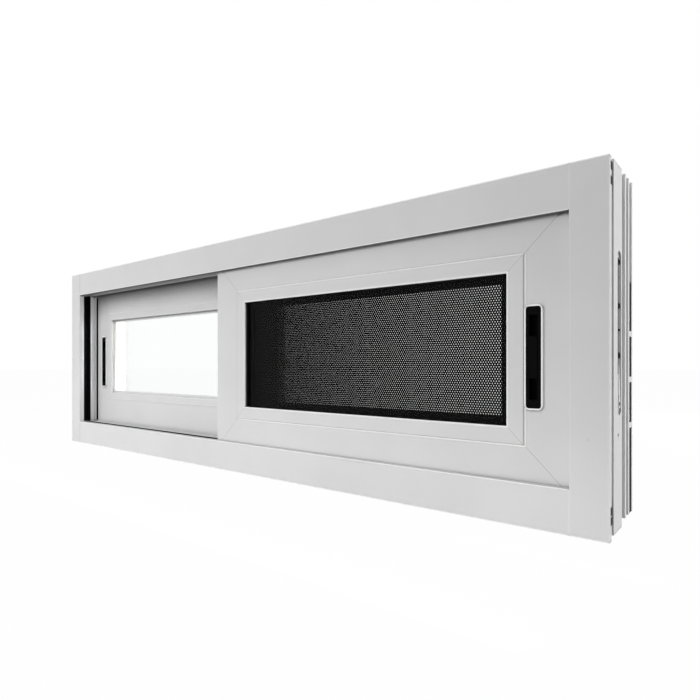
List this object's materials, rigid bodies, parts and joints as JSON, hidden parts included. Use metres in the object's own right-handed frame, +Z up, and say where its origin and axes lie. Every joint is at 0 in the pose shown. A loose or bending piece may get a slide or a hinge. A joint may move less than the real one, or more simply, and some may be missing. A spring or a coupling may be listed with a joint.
{
  "type": "horizontal sliding window",
  "caption": "Wide low sliding window: a grooved metal track frame with a clear glazed rear sash, a front sash with a perforated security screen, and flush side latches.",
  "frame": {"origin": "middle of the frame's underside, where the sill rests", "axes": "+X along the sill to the side of the screened sash, +Y from the front face to the back, +Z up"},
  "size_m": [1.5, 0.142, 0.5],
  "materials": {
    "white_metal": "satin",
    "black_metal": "matte",
    "clear_glass": "gloss",
    "black_plastic": "satin",
    "black_rubber": "matte",
    "bare_steel": "brushed",
    "roller_plastic": "matte"
  },
  "bodies": {
    "root": {"front_bead_bottom": "white_metal", "front_bead_left": "white_metal", "front_bead_right": "white_metal", "front_bead_top": "white_metal", "front_bottom_rail": "white_metal", "front_glass": "clear_glass", "front_interlock": "black_plastic", "front_latch": "black_plastic", "front_latch_slide": "black_plastic", "front_lock_stile": "white_metal", "front_meeting_stile": "white_metal", "front_roller_forks": "roller_plastic", "front_rollers": "roller_plastic", "front_top_rail": "white_metal", "head": "white_metal", "head_front_lip": "white_metal", "head_track_fins": "white_metal", "keeper_arm": "bare_steel", "keeper_plate": "bare_steel", "left_jamb": "white_metal", "left_track_buffer": "black_rubber", "mesh_border_bottom": "black_metal", "mesh_border_left": "black_metal", "mesh_border_right": "black_metal", "mesh_border_top": "black_metal", "rear_bottom_rail": "white_metal", "rear_glass": "clear_glass", "rear_glazing_bottom": "white_metal", "rear_glazing_left": "white_metal", "rear_glazing_right": "white_metal", "rear_glazing_top": "white_metal", "rear_latch": "black_plastic", "rear_latch_slide": "black_plastic", "rear_lock_stile": "white_metal", "rear_meeting_stile": "white_metal", "rear_roller_forks": "roller_plastic", "rear_rollers": "roller_plastic", "rear_top_rail": "white_metal", "right_jamb": "white_metal", "right_track_buffer": "black_rubber", "security_mesh": "black_metal", "side_clips": "roller_plastic", "side_seal": "black_rubber", "sill": "white_metal", "sill_front_lip": "white_metal", "sill_track_fins": "white_metal"}
  },
  "joints": []
}
